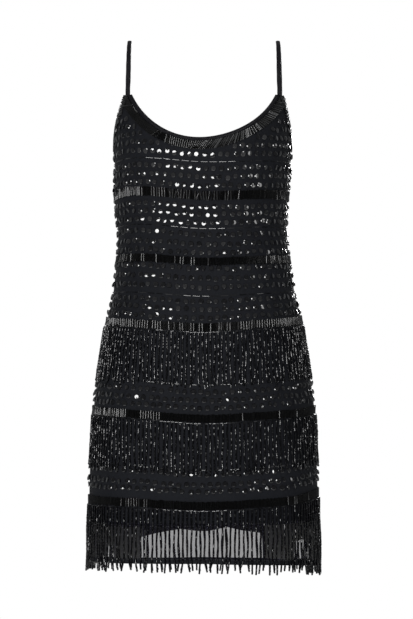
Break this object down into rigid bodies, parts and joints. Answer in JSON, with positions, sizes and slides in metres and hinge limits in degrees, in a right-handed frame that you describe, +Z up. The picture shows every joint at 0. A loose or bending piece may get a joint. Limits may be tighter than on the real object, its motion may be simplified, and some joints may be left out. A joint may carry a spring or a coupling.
{
  "type": "beaded mini dress",
  "caption": "Sleeveless straight mini dress with two narrow straps, a scooped neck, bands of bugle beads, rows of round stones and tiers of bead fringe, hollow as when worn",
  "frame": {"origin": "midway between the highest points of the two shoulder straps, where the wearer's shoulders carry the dress", "axes": "+Z up along the dress, -Y out of its front, +X towards the wearer's left"},
  "size_m": [0.3729, 0.262, 0.8639],
  "materials": {
    "chiffon": "black chiffon sewn with round stones and bugle beads, sheer near the hem",
    "lining": "matt black woven lining",
    "satin": "black satin with a soft sheen",
    "beads": "strung glossy black beads"
  },
  "bodies": {
    "root": {"front_panel": "chiffon", "back_panel": "chiffon", "front_lining": "lining", "back_lining": "lining", "neck_binding_front": "satin", "neck_binding_back": "satin", "strap_left": "satin", "strap_right": "satin", "fringe_upper": "beads", "fringe_middle": "beads", "fringe_hem": "beads"}
  },
  "joints": []
}
